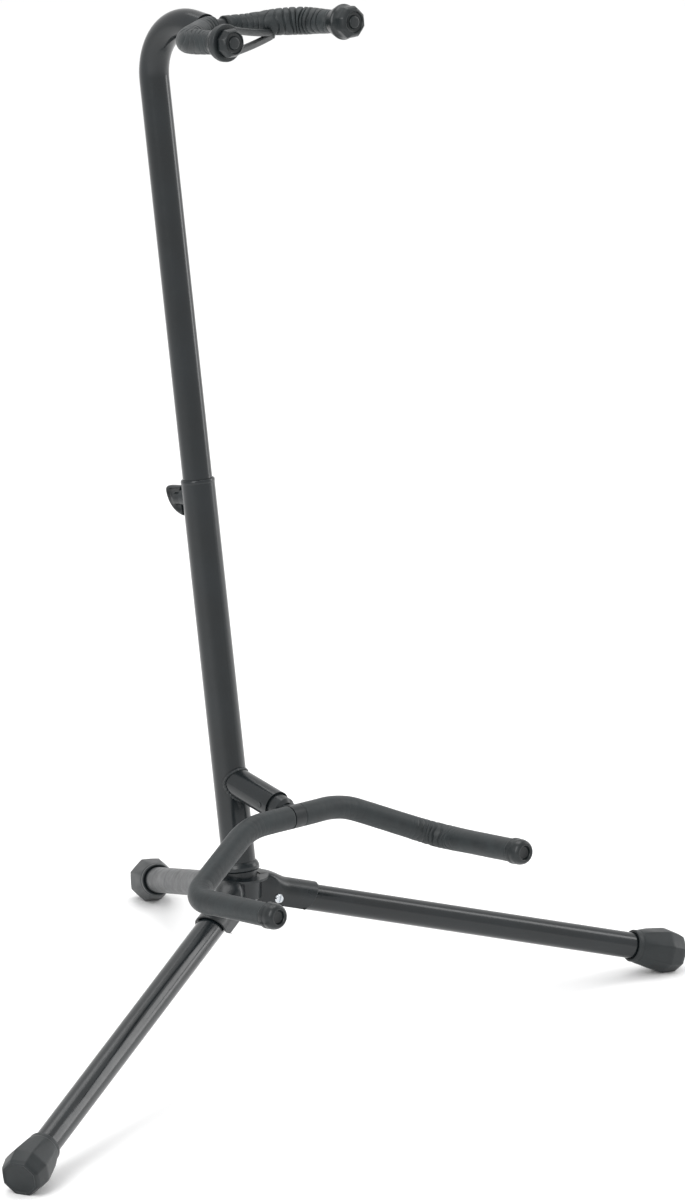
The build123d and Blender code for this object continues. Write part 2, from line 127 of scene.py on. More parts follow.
def addNode(tree, kind, settings=None, **links):
    # one node, with its settings, its plain input values and its links; a link named in0 or
    # in6 goes to the input of that number, and "stops" fills a colour ramp
    node = tree.nodes.new(kind)
    settings = dict(settings or {})
    stops = settings.pop("stops", None)
    if stops:
        # a new ramp has two stops, as every ramp here does
        node.color_ramp.interpolation = "EASE"
        for element, (at, color) in zip(node.color_ramp.elements, stops):
            element.position, element.color = at, color
    for key, value in settings.items():
        setattr(node, key, value)
    for key, value in links.items():
        socket = node.inputs[int(key[2:]) if key.startswith("in") else key.replace("_", " ")]
        if isinstance(value, bpy.types.NodeSocket):
            tree.links.new(value, socket)
        else:
            socket.default_value = value
    return node


def startMaterial(name, **plain):
    # an empty material with its shader and Object coordinates; plain are shader values
    material = bpy.data.materials.new(name)
    material.use_nodes = True
    tree = material.node_tree
    tree.nodes.clear()
    shader = addNode(tree, "ShaderNodeBsdfPrincipled")
    for key, value in plain.items():
        shader.inputs[key.replace("_", " ")].default_value = value
    out = addNode(tree, "ShaderNodeOutputMaterial")
    tree.links.new(shader.outputs[0], out.inputs[0])
    place = addNode(tree, "ShaderNodeTexCoord").outputs["Object"]
    return material, tree, shader, place


def finishMaterial(tree, shader, color, rough, heights):
    # heights are (height socket, depth in millimetres, strength), laid over each other
    tree.links.new(color, shader.inputs["Base Color"])
    tree.links.new(rough, shader.inputs["Roughness"])
    normal = None
    for height, depth, strength in heights:
        bump = addNode(tree, "ShaderNodeBump", Height=height, Distance=depth * mm,
                       Strength=strength)
        if normal:
            tree.links.new(normal, bump.inputs["Normal"])
        normal = bump.outputs["Normal"]
    tree.links.new(normal, shader.inputs["Normal"])


def scaleFor(size):
    # noise features of this size in millimetres
    return 1 / (size * mm)


def makeEnamel(name, s):
    # Black stove enamel on steel, sprayed and baked: a hard glossy skin with a faint
    # orange peel, a little dust in the gloss, and scuffs where the paint is thin.
    material, tree, shader, place = startMaterial(
        name, IOR=1.47, Coat_Weight=s["coat"], Coat_Roughness=s["coatRough"],
        Specular_IOR_Level=s["gloss"])
    cloud = addNode(tree, "ShaderNodeTexNoise", Vector=place, Scale=scaleFor(s["cloud"]),
                    Detail=3.0).outputs["Fac"]
    peel = addNode(tree, "ShaderNodeTexNoise", Vector=place, Scale=scaleFor(s["peel"]),
                   Detail=2.0).outputs["Fac"]
    dust = addNode(tree, "ShaderNodeTexNoise", Vector=place, Scale=scaleFor(s["dust"]),
                   Detail=4.0, Roughness=0.7).outputs["Fac"]
    scuffs = addNode(tree, "ShaderNodeTexNoise", Vector=place, Scale=scaleFor(s["scuff"]),
                     Detail=6.0, Roughness=0.75).outputs["Fac"]
    base = addNode(tree, "ShaderNodeValToRGB", {"stops": [
        (0.3, linearColor(s["dark"])), (0.7, linearColor(s["light"]))]}, Fac=cloud).outputs[0]
    worn = addNode(tree, "ShaderNodeValToRGB", {"stops": [
        (0.70, (0, 0, 0, 1)), (0.76, (1, 1, 1, 1))]}, Fac=scuffs).outputs[0]
    color = addNode(tree, "ShaderNodeMix", {"data_type": "RGBA"}, in0=worn, in6=base,
                    in7=linearColor(s["worn"])).outputs[2]
    rough = addNode(tree, "ShaderNodeMapRange", Value=dust, in1=0.3, in2=0.7,
                    in3=s["rough"][0], in4=s["rough"][1]).outputs[0]
    finishMaterial(tree, shader, color, rough, [(peel, s["peelDepth"], 0.35)])
    return material


# Colours are sRGB, "gloss" is the shader's specular level, and cloud, peel, dust and scuff are
# the patterns' sizes in millimetres.
tubeFinish = {
    "dark": "#0D1214", "light": "#12181B", "worn": "#2A3235",
    "rough": (0.17, 0.25), "coat": 0.05, "coatRough": 0.1, "gloss": 0.5,
    "cloud": 45, "peel": 1.6, "peelDepth": 0.03, "dust": 9, "scuff": 7}
tubeEnamel = makeEnamel("stoveEnamelTube", tubeFinish)
# the same enamel on the rear leg, with its gloss worn dull
rearEnamel = makeEnamel("dullEnamelRearLeg", {
    **tubeFinish, "rough": (0.30, 0.42), "coat": 0.0, "gloss": 0.18})
lugEnamel = makeEnamel("satinEnamelLug", {
    "dark": "#0E1315", "light": "#141A1D", "worn": "#30383B",
    "rough": (0.26, 0.36), "coat": 0.05, "coatRough": 0.2, "gloss": 0.5,
    "cloud": 25, "peel": 1.2, "peelDepth": 0.05, "dust": 6, "scuff": 5})


def makeZinc(name, s):
    # Bright zinc plate on steel: a blueish mirror broken by fine turning marks.
    material, tree, shader, place = startMaterial(name, Metallic=1.0)
    cloud = addNode(tree, "ShaderNodeTexNoise", Vector=place, Scale=scaleFor(s["cloud"]),
                    Detail=3.0).outputs["Fac"]
    marks = addNode(tree, "ShaderNodeTexNoise", Vector=place, Scale=scaleFor(s["marks"]),
                    Detail=5.0, Roughness=0.7).outputs["Fac"]
    color = addNode(tree, "ShaderNodeValToRGB", {"stops": [
        (0.3, linearColor(s["dark"])), (0.7, linearColor(s["light"]))]}, Fac=cloud).outputs[0]
    rough = addNode(tree, "ShaderNodeMapRange", Value=marks, in1=0.3, in2=0.7,
                    in3=s["rough"][0], in4=s["rough"][1]).outputs[0]
    finishMaterial(tree, shader, color, rough, [(marks, s["markDepth"], 0.3)])
    return material


brightZinc = makeZinc("brightZincPlate", {
    "dark": "#B9BEC3", "light": "#DADDE0", "rough": (0.16, 0.30),
    "cloud": 3, "marks": 0.5, "markDepth": 0.01})


def makeFoam(name, s):
    # Closed-cell foam rubber tube: matte, with a skin of tiny cells and rubbed patches, and
    # painted shade that darkens each cell's pit.
    material, tree, shader, place = startMaterial(name, IOR=1.45, Sheen_Weight=s["sheen"],
                                                  Sheen_Roughness=0.5)
    cloud = addNode(tree, "ShaderNodeTexNoise", Vector=place, Scale=scaleFor(s["cloud"]),
                    Detail=5.0, Roughness=0.6).outputs["Fac"]
    cells = addNode(tree, "ShaderNodeTexVoronoi", {"feature": "F1"}, Vector=place,
                    Scale=scaleFor(s["cell"])).outputs["Distance"]
    skin = addNode(tree, "ShaderNodeTexNoise", Vector=place, Scale=scaleFor(s["skin"]),
                   Detail=3.0).outputs["Fac"]
    base = addNode(tree, "ShaderNodeValToRGB", {"stops": [
        (0.32, linearColor(s["dark"])), (0.68, linearColor(s["light"]))]}, Fac=cloud).outputs[0]
    # painted shade: the colour falls to 0.72 at the middle of each cell, where the cell bump sinks
    # into a pit
    paintedPitShade = addNode(tree, "ShaderNodeValToRGB", {"stops": [
        (0.0, (0.72, 0.72, 0.72, 1)), (0.45, (1, 1, 1, 1))]}, Fac=cells).outputs[0]
    color = addNode(tree, "ShaderNodeMix", {"data_type": "RGBA", "blend_type": "MULTIPLY"},
                    in0=1.0, in6=base, in7=paintedPitShade).outputs[2]
    rough = addNode(tree, "ShaderNodeMapRange", Value=cloud, in1=0.3, in2=0.7,
                    in3=s["rough"][0], in4=s["rough"][1]).outputs[0]
    finishMaterial(tree, shader, color, rough,
                   [(skin, s["skinDepth"], 0.5), (cells, s["cellDepth"], 0.35)])
    return material


foamSleeve = makeFoam("closedCellFoam", {
    "dark": "#141A1C", "light": "#1E2527", "rough": (0.44, 0.58), "sheen": 0.06,
    "cloud": 14, "cell": 0.9, "cellDepth": 0.12, "skin": 4.5, "skinDepth": 0.4})
mouldedRubber = makeFoam("mouldedRubber", {
    "dark": "#101618", "light": "#181E20", "rough": (0.38, 0.50), "sheen": 0.03,
    "cloud": 11, "cell": 0.5, "cellDepth": 0.05, "skin": 2.2, "skinDepth": 0.12})
mouldedAbs = makeFoam("mouldedAbs", {
    "dark": "#0F1416", "light": "#151B1D", "rough": (0.26, 0.36), "sheen": 0.0,
    "cloud": 16, "cell": 0.35, "cellDepth": 0.02, "skin": 1.5, "skinDepth": 0.03})
naturalNylon = makeFoam("naturalNylon", {
    "dark": "#CFC9BA", "light": "#DDD8CB", "rough": (0.38, 0.48), "sheen": 0.0,
    "cloud": 10, "cell": 0.4, "cellDepth": 0.02, "skin": 1.2, "skinDepth": 0.03})


def makePaper(name, s):
    # Seamless studio paper: a pale sheet with a barely visible tooth.
    material, tree, shader, place = startMaterial(name, IOR=1.4)
    cloud = addNode(tree, "ShaderNodeTexNoise", Vector=place, Scale=s["clouds"],
                    Detail=3.0).outputs["Fac"]
    tooth = addNode(tree, "ShaderNodeTexNoise", Vector=place, Scale=scaleFor(s["tooth"]),
                    Detail=3.0).outputs["Fac"]
    color = addNode(tree, "ShaderNodeValToRGB", {"stops": [
        (0.3, linearColor(s["dark"])), (0.7, linearColor(s["light"]))]}, Fac=cloud).outputs[0]
    rough = addNode(tree, "ShaderNodeMapRange", Value=tooth, in1=0.3, in2=0.7,
                    in3=s["rough"][0], in4=s["rough"][1]).outputs[0]
    finishMaterial(tree, shader, color, rough, [(tooth, s["toothDepth"], 0.2)])
    return material


floorPaper = makePaper("seamlessPaper", {
    "dark": "#FAFAFA", "light": "#FCFCFC", "rough": (0.75, 0.9),
    "clouds": 1.2,   # to a metre
    "tooth": 3, "toothDepth": 0.05})

slotMaterials = {"tube_paint": tubeEnamel, "lug_paint": lugEnamel, "bright_zinc": brightZinc,
                 "foam_sleeve": foamSleeve, "rubber": mouldedRubber,
                 "moulded_plastic": mouldedAbs, "nylon": naturalNylon}
slotOf = {row["node"]: row["material_slot"] for row in frame["record"]["subparts"]}
for nodeName, nodeObject in nodes.items():
    nodeObject.data.materials.clear()
    nodeObject.data.materials.append(slotMaterials[slotOf[nodeName]])
nodes["leg_tube_rear"].data.materials[0] = rearEnamel
print("materials made and given to the CAD nodes")


def makeFloor(s):
    # a level sheet at height 0, wide enough to pass the view's edges from every side
    run = np.linspace(-s["half"], s["half"], 17)
    x, y = np.meshgrid(run, run)
    return np.stack([x, y, np.zeros_like(x)], axis=2)


def gridFaces(rows, cols, closeRows=False, closeCols=False):
    # quads between neighbours of a grid whose points are numbered row by row
    i = np.arange(rows if closeRows else rows - 1)
    j = np.arange(cols if closeCols else cols - 1)
    i, j = np.meshgrid(i, j, indexing="ij")
    nextI, nextJ = (i + 1) % rows, (j + 1) % cols
    quads = np.stack([i * cols + j, i * cols + nextJ, nextI * cols + nextJ, nextI * cols + j], 2)
    return quads.reshape(-1, 4)


def signedVolume(points, faces):
    # six times the volume that the faces enclose, positive when they point outwards
    a, b, c, d = (points[faces[:, k]] for k in range(4))
    return (np.einsum("ij,ij->", a, np.cross(b, c)) + np.einsum("ij,ij->", a, np.cross(c, d)))


def makePiece(name, surfaces, material, body, stands=()):
    # one object from surfaces, each (grid of points, closeRows, closeCols); where closeRows is
    # False, the grid's first and last rows are already shrunk to a point or a line
    allPoints, allFaces, start = [], [], 0
    for grid, closeRows, closeCols in surfaces:
        rows, cols = grid.shape[:2]
        points = grid.reshape(-1, 3)
        faces = gridFaces(rows, cols, closeRows, closeCols)
        if signedVolume(points, faces) < 0:
            faces = faces[:, ::-1]
        allPoints.append(points)
        allFaces.append(faces + start)
        start += len(points)
    points, faces = np.concatenate(allPoints), np.concatenate(allFaces)
    mesh = bpy.data.meshes.new(name)
    mesh.vertices.add(len(points))
    mesh.vertices.foreach_set("co", points.astype(np.float32).ravel())
    mesh.loops.add(faces.size)
    mesh.loops.foreach_set("vertex_index", faces.astype(np.int32).ravel())
    mesh.polygons.add(len(faces))
    mesh.polygons.foreach_set("loop_start", np.arange(0, faces.size, 4, dtype=np.int32))
    mesh.polygons.foreach_set("loop_total", np.full(len(faces), 4, dtype=np.int32))
    mesh.polygons.foreach_set("use_smooth", np.ones(len(faces), dtype=bool))
    mesh.update(calc_edges=True)
    mesh.materials.append(material)
    piece = bpy.data.objects.new(name, mesh)
    bpy.context.collection.objects.link(piece)
    if body:
        mergePoles(mesh)
        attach(piece, body)
        if stands:
            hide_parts(*stands)
    return piece


def mergePoles(mesh):
    # points that a pole or a seam holds twice become one
    work = bmesh.new()
    work.from_mesh(mesh)
    bmesh.ops.remove_doubles(work, verts=work.verts, dist=2e-6)
    work.to_mesh(mesh)
    work.free()
    mesh.validate()


floorSettings = {"half": 18.0}   # metres from the middle to an edge
floor = makePiece("floor", [(makeFloor(floorSettings), False, False)], floorPaper, None)

# Sizes that the new pieces share with the CAD model, in millimetres and degrees.
stand = {
    "hubHeight": 121.868, "lean": 9.1, "legSlope": 16.2,
    "turns": {"right": 77.4, "left": -65.2, "rear": 150.8},
    "bendStart": 601.0, "bendRadius": 42.0, "reach": 64.0, "droop": 13.0,
}


def tubeEnd():
    # the gooseneck's end: its bend turns the tube by a right angle more than the droop, and the
    # run after it falls by the droop's tangent
    rise = stand["bendRadius"] * math.tan(math.radians((90 + stand["droop"]) / 2))
    fall = stand["reach"] * math.tan(math.radians(stand["droop"]))
    return stand["reach"], stand["bendStart"] + rise - fall


def unit(v):
    return v / np.linalg.norm(v, axis=-1, keepdims=True)


def mastAxes():
    # unit directions up along the mast and square behind it
    lean = math.radians(stand["lean"])
    return (np.array([0, math.sin(lean), math.cos(lean)]),
            np.array([0, math.cos(lean), -math.sin(lean)]))


def mastPlace(along, ahead=0.0, side=0.0):
    # a point given along the mast, square ahead of it and sideways
    lean = math.radians(stand["lean"])
    return np.array([side, along * math.sin(lean) - ahead * math.cos(lean),
                     stand["hubHeight"] + along * math.cos(lean) + ahead * math.sin(lean)]) * mm


def hubPlace(ahead, above, side=0.0):
    return np.array([side, -ahead, stand["hubHeight"] + above]) * mm


def legAxes(turn):
    # the hub centre, and unit directions up from, across and out along a leg
    slope, turn = math.radians(stand["legSlope"]), math.radians(turn)
    level = np.array([math.sin(turn), -math.cos(turn), 0])
    rise = np.array([0, 0, 1])
    out = level * math.cos(slope) - rise * math.sin(slope)
    up = level * math.sin(slope) + rise * math.cos(slope)
    return hubPlace(0, 0), up, np.cross(out, up), out


def ease(t):
    # a smooth step from 0 to 1
    t = np.clip(t, 0, 1)
    return t * t * (3 - 2 * t)


def waveNoise(seed, *coords, count=7):
    # smooth noise in about -1 to 1: a sum of sine waves in seeded directions
    rng = np.random.default_rng(seed)
    total = 0
    for _ in range(count):
        pull = rng.normal(size=len(coords))
        total = total + np.sin(sum(p * c for p, c in zip(pull, coords)) + rng.uniform(0, 6.283))
    return total / math.sqrt(count)


def roundedRoute(points, radii, step):
    # straight runs joined by tangent arcs, as points about step apart
    points = [np.asarray(p, float) for p in points]
    pieces, at = [], points[0]
    for before, corner, after, radius in zip(points, points[1:], points[2:], radii):
        incoming, outgoing = unit(corner - before), unit(after - corner)
        bend = math.acos(float(np.dot(incoming, outgoing)))
        reach = radius * math.tan(bend / 2)
        start, stop = corner - incoming * reach, corner + outgoing * reach
        centre = corner + unit(outgoing - incoming) * radius / math.cos(bend / 2)
        count = max(2, int(np.linalg.norm(start - at) / step))
        pieces.append(at + (start - at) * np.linspace(0, 1, count, endpoint=False)[:, None])
        angle = np.linspace(0, bend, max(6, int(radius * bend / step)), endpoint=False)[:, None]
        inner = start - centre
        pieces.append(centre + inner * np.cos(angle) + incoming * radius * np.sin(angle))
        at = stop
    count = max(2, int(np.linalg.norm(points[-1] - at) / step))
    pieces.append(at + (points[-1] - at) * np.linspace(0, 1, count)[:, None])
    return np.concatenate(pieces)


def alongRoute(route, distances):
    # points and directions at these distances along a route
    gaps = np.linalg.norm(np.diff(route, axis=0), axis=1)
    length = np.concatenate([[0], np.cumsum(gaps)])
    spots = np.stack([np.interp(distances, length, route[:, k]) for k in range(3)], 1)
    ahead = np.stack([np.interp(np.minimum(distances + 2e-4, length[-1]), length, route[:, k])
                      for k in range(3)], 1)
    behind = np.stack([np.interp(np.maximum(distances - 2e-4, 0), length, route[:, k])
                       for k in range(3)], 1)
    return spots, unit(ahead - behind), length[-1]


def ringFrame(directions, reference):
    # for each direction, two unit vectors square to it, the first as near reference as can be
    first = unit(reference - directions * (directions @ reference)[:, None])
    return first, np.cross(directions, first)


def turnedGrid(origin, axis, reference, profile, radiusAt, columns=96):
    # a profile of (radius, height) in millimetres turned round an axis; radiusAt changes the
    # radius with the angle and the height
    angle = np.linspace(0, 2 * math.pi, columns, endpoint=False)
    first, second = ringFrame(axis[None], reference)
    radius, height = profile[:, :1], profile[:, 1:]
    radius = radiusAt(radius, angle[None], height)
    around = (np.cos(angle)[:, None] * first + np.sin(angle)[:, None] * second)
    return origin + mm * (radius[:, :, None] * around[None]
                          + (height * np.ones_like(angle)[None])[:, :, None] * axis)


def plainRadius(radius, angle, height):
    return radius * np.ones_like(angle)


def smoothProfile(corners, radius, perCorner=5, perRun=3):
    # a polyline of (radius, height) with its corners rounded, as an array
    flat = [np.array([r, h, 0.0]) for r, h in corners]
    runs = [np.linalg.norm(b - a) for a, b in zip(flat, flat[1:])]
    points = [flat[0]]
    for k in range(1, len(flat) - 1):
        incoming, outgoing = unit(flat[k] - flat[k - 1]), unit(flat[k + 1] - flat[k])
        cut = min(radius, 0.45 * runs[k - 1], 0.45 * runs[k])
        t = np.linspace(0, 1, perCorner)[:, None]
        a, b = flat[k] - incoming * cut, flat[k] + outgoing * cut
        points.append(a * (1 - t) ** 2 + flat[k] * 2 * t * (1 - t) + b * t ** 2)
    points.append(flat[-1])
    points = np.vstack([np.atleast_2d(p) for p in points])
    t = np.linspace(0, 1, perRun, endpoint=False)[:, None, None]
    dense = points[:-1][None] * (1 - t) + points[1:][None] * t
    dense = dense.transpose(1, 0, 2).reshape(-1, 3)
    return np.vstack([dense, points[-1:]])[:, :2]


# Foam sleeves on the cradle and the yoke, in millimetres. "eye" is half the width of the saddle's
# ring, where a sleeve starts. "route" gives the bar's corners as ahead, up and to the side, and
# "bends" their radii. "restless" is the depth of the foam's general unevenness.
cradleSleeve = {
    "bar": 12.0, "outer": 17.5, "eye": 5.0,
    "route": [(60.0, 67.8, 45.0), (85.0, 35.0, 119.0), (167.8, 42.5, 119.0)],
    "bends": (60.0, 22.0), "foldPitch": 5.6, "foldDepth": 1.3, "restless": 0.16,
    # share of the way along the arm, and what the foam's radius gains there
    "girth": [(0, 0), (0.5, 0), (0.62, 0.45), (0.75, 0), (1, 0)],
}
neckSleeve = {
    "bar": 10.0, "outer": 17.0, "eye": 5.0,
    "route": [(16.0, 2.0, 14.0), (46.0, -2.0, 56.7), (78.5, -2.8, 56.7)],
    "bends": (22.0, 18.0), "foldPitch": 5.4, "foldDepth": 2.8, "restless": 0.34,
    # the foam is pulled thin at the saddle and bunches at the bend
    "girth": [(0, -1.9), (0.2, -1.7), (0.4, 1.2), (0.6, 1.7), (0.85, 0.6), (1, 0)],
}


def yokePlace(ahead, along, side):
    reach, end = tubeEnd()
    return mastPlace(end + along, reach + ahead, side)


def sleeveRoute(s, place, sign):
    # from the middle of the bar out to an arm's tip
    middle = place(s["route"][0][0], s["route"][0][1], 0.0)
    points = [middle] + [place(a, b, sign * c) for a, b, c in s["route"]]
    return roundedRoute(points, [r * mm for r in s["bends"]], 0.8 * mm), points


def makeSleeve(name, s, place, sign, node, body, seed, loose, plump):
    # A tube along the bar. Its radius is the foam's, plus the girth at that share of the way,
    # less folds across it: a fold is a narrow groove, 1 minus the absolute value of a sine,
    # raised to a power, that wanders with the angle. loose gives, for each bend, how deep the
    # folds are and how far they reach; they are deepest on the inside of the bend. plump
    # scales the girth.
    route, points = sleeveRoute(s, place, sign)
    _, _, total = alongRoute(route, np.array([0.0]))
    start, stop = (s["eye"] + 0.1) * mm, total - 0.1 * mm
    rows, innerRows, columns = 420, 90, 80
    outer, bore = s["outer"] / 2 * mm, s["bar"] / 2 * mm + 0.05 * mm
    edge, inset = 1.3 * mm, 0.5 * mm
    # round the wall: out over the first end, along the outside, over the far end, back inside
    quarter = np.linspace(0, math.pi / 2, 7)
    at = np.concatenate([np.full(1, start), start + edge * (1 - np.cos(quarter))[:-1],
                         np.linspace(start + edge, stop - edge, rows),
                         stop - edge * (1 - np.cos(quarter[::-1]))[1:], np.full(1, stop),
                         np.linspace(stop - inset, start + inset, innerRows)])
    wall = np.concatenate([np.full(1, bore), outer - edge * (1 - np.sin(quarter))[:-1],
                           np.full(rows, outer),
                           outer - edge * (1 - np.sin(quarter[::-1]))[1:],
                           np.full(1 + innerRows, bore)])
    soft = ease((wall - bore) / (outer - bore) * 2 - 1)
    # the girth, averaged over a short stretch to round its steps
    share = np.clip((at - start) / (stop - start), 0, 1)
    stops, gains = np.array(s["girth"]).T
    stretch = 0.06 * np.array([-1, -0.6, -0.3, 0, 0.3, 0.6, 1])
    fuller = np.mean([np.interp(share + d, stops, gains) for d in stretch], axis=0)
    spots, directions, _ = alongRoute(route, at)
    first, second = ringFrame(directions, np.array([0, 0, 1.0]))
    angle = np.linspace(0, 2 * math.pi, columns, endpoint=False)[None]
    cos, sin = np.cos(angle), np.sin(angle)
    far = (at / mm)[:, None]
    wander = (waveNoise(seed, far / 9, 1.2 * cos, 1.2 * sin)
              + 0.6 * waveNoise(seed + 1, far / 4, 2.2 * cos, 2.2 * sin))
    groove = (1 - np.abs(np.sin(math.pi * far / s["foldPitch"] + 1.1 * wander))) ** 2.5
    bends = [float(np.linalg.norm(route - p, axis=1).argmin()) / len(route) * total / mm
             for p in points[1:-1]]
    folded = sum(weight * np.exp(-((far - d) / spread) ** 2)
                 for d, (weight, spread) in zip(bends, loose))
    # the inside of a bend is where the route turns to
    bendTo = unit(np.mean(route, axis=0) - route[len(route) // 2])
    inside = 0.62 + 0.38 * ((first @ bendTo)[:, None] * cos + (second @ bendTo)[:, None] * sin)
    patch = 0.55 + 0.45 * waveNoise(seed + 5, far / 13, 1.6 * cos, 1.6 * sin)
    depth = s["foldDepth"] * folded * np.clip(inside, 0.15, 1) * np.clip(patch, 0.1, 1.3)
    lumps = s["restless"] * waveNoise(seed + 9, far / 7, 1.5 * cos, 1.5 * sin)
    inwards = depth * (groove - 0.25) + 0.5 * np.abs(lumps) - plump * fuller[:, None]
    radius = wall[:, None] - mm * soft[:, None] * inwards
    around = cos[:, :, None] * first[:, None] + sin[:, :, None] * second[:, None]
    grid = spots[:, None] + radius[:, :, None] * around
    piece = makePiece(name, [(grid, True, True)], foamSleeve, body, [node])


for side, sign in sides.items():
    makeSleeve("cradleFoam_" + side, cradleSleeve, hubPlace, sign, "cradle_sleeve_" + side,
               "stand_base", 11 + sign, [(0.12, 22.0), (0.75 + 0.55 * sign, 17.0)], 1.0)
    makeSleeve("neckFoam_" + side, neckSleeve, yokePlace, sign, "neck_sleeve_" + side,
               "upper_mast", 31 + sign, [(0.5, 14.0), (1.35, 30.0)], 0.65 + 0.35 * sign)
print("foam sleeves made")


def armTip(s, place, sign):
    # the tip of an arm, the way it points, and an upward reference
    last, before = s["route"][-1], s["route"][-2]
    tip = place(last[0], last[1], sign * last[2])
    return tip, unit(tip - place(before[0], before[1], sign * before[2])), np.array([0, 0, 1.0])


# End caps of the cradle, as (radius, height) outlines in millimetres.
capSettings = {
    "outline": [(0, 0.1), (9.0, 0.1), (9.75, 0.9), (9.75, 4.0), (9.45, 4.9), (9.55, 8.4),
                (8.6, 11.6), (7.2, 13.3), (5.6, 13.4), (4.9, 12.4), (4.6, 10.6), (0, 10.4)],
    "round": 1.0,
}
for side, sign in sides.items():
    tip, axis, up = armTip(cradleSleeve, hubPlace, sign)
    grid = turnedGrid(tip, axis, up, smoothProfile(capSettings["outline"], capSettings["round"]),
                      plainRadius)
    makePiece("cradleCap_" + side, [(grid, False, True)], mouldedAbs, "stand_base",
              ["cradle_cap_" + side])

# End knobs of the yoke, as (radius, height) outlines in millimetres.
knobSettings = {
    # the strap's ring sits in a groove of the left knob; the right one is filled out
    "left": [(0, 0), (8.9, 0), (9.4, 1.0), (12.4, 7.2), (12.9, 8.1), (12.7, 9.0), (7.5, 9.0),
             (7.5, 14.5), (9.8, 14.5), (10.9, 15.3), (11.0, 17.8), (9.9, 20.6), (8.6, 22.0)],
    "right": [(0, 0), (8.9, 0), (9.4, 1.0), (12.5, 8.4), (13.0, 9.4), (13.0, 10.6), (12.4, 11.4),
              (12.1, 12.2), (12.1, 18.2), (10.9, 20.8), (9.4, 22.1)],
    "face": [(7.9, 22.4), (7.1, 20.7), (4.9, 20.5), (4.5, 22.2), (3.6, 22.6), (0, 22.7)],
    "facets": 8, "facetFrom": 14.6, "facetInside": 7.5, "facetDepth": 0.85, "round": 0.8,
}


def facetRadius(radius, angle, height):
    # flats round the head: 1 over the cosine of the angle from the nearest flat's middle,
    # scaled to leave the corners on the circle
    s = knobSettings
    part = math.pi / s["facets"]
    off = (angle + part) % (2 * part) - part
    flat = math.cos(part) / np.cos(off)
    share = ease((radius - s["facetInside"]) / 3) * ease((height - s["facetFrom"] + 2.5) / 2)
    return radius * (1 + s["facetDepth"] * share * (flat - 1))


for side, sign in sides.items():
    tip, axis, up = armTip(neckSleeve, yokePlace, sign)
    profile = smoothProfile(knobSettings[side] + knobSettings["face"], knobSettings["round"])
    makePiece("neckKnob_" + side, [(turnedGrid(tip, axis, up, profile, facetRadius), False, True)],
              mouldedAbs, "upper_mast", ["neck_knob_" + side])
print("caps and knobs made")

# Rubber feet: a round mouth that becomes an eight-sided flare with soft corners.
footSettings = {
    "mouthAt": 352.5, "bore": 10.05, "boreDepth": 30.0,
    "outline": [(10.05, -2.9), (11.7, -3.4), (12.3, -2.8), (12.4, 0.8), (12.9, 1.8), (16.3, 24.6),
                (16.3, 26.4), (14.4, 36.2), (13.2, 38.6), (12.0, 38.8), (11.2, 38.1), (0, 37.8)],
    # round up to roundPart, eight-sided from blend further on, with a share of the full corners
    "roundPart": 2.0, "blend": 5.0, "corners": 0.82, "round": 0.9,
}


def footRadius(radius, angle, height):
    # an octagon's radius over a circle's is 1 over the cosine of the angle from the nearest
    # flat's middle; only a share of what that adds is taken, which softens the corners
    s = footSettings
    off = (angle + math.pi / 8) % (math.pi / 4) - math.pi / 8
    octagon = 1 / np.cos(off)
    soft = 1 + (octagon - 1) * s["corners"]
    share = ease((height - s["roundPart"]) / s["blend"]) * ease((radius - 6) / 4)
    return radius * (1 + share * (soft - 1))


def makeFoot(leg, turn, s):
    # the outline starts with the bore's floor and its side
    origin, up, _, out = legAxes(turn)
    bore = [(0, s["boreDepth"]), (s["bore"], s["boreDepth"])]
    profile = smoothProfile(bore + s["outline"], s["round"])
    grid = turnedGrid(origin + out * s["mouthAt"] * mm, out, up, profile, footRadius)
    grid[:, :, 2] = np.maximum(grid[:, :, 2], 0.0)   # flat where it stands on the floor
    makePiece("rubberFoot_" + leg, [(grid, False, True)], mouldedRubber, "leg_" + leg,
              ["foot_" + leg])


for leg, turn in stand["turns"].items():
    makeFoot(leg, turn, footSettings)
print("feet made")

# Leg brackets, pressed from sheet: a flat tongue on the hub plate that swells into a channel.
bracketSettings = {
    "wall": 1.4, "radius": 12.0, "cheek": 8.0, "length": 61.5, "cutBack": 7.0, "cornerBack": 5.0,
    "start": 9.0, "plateTop": 9.9, "neck": 8.2, "neckTo": 24.0, "swellTo": 36.0, "boxPower": 0.35,
}


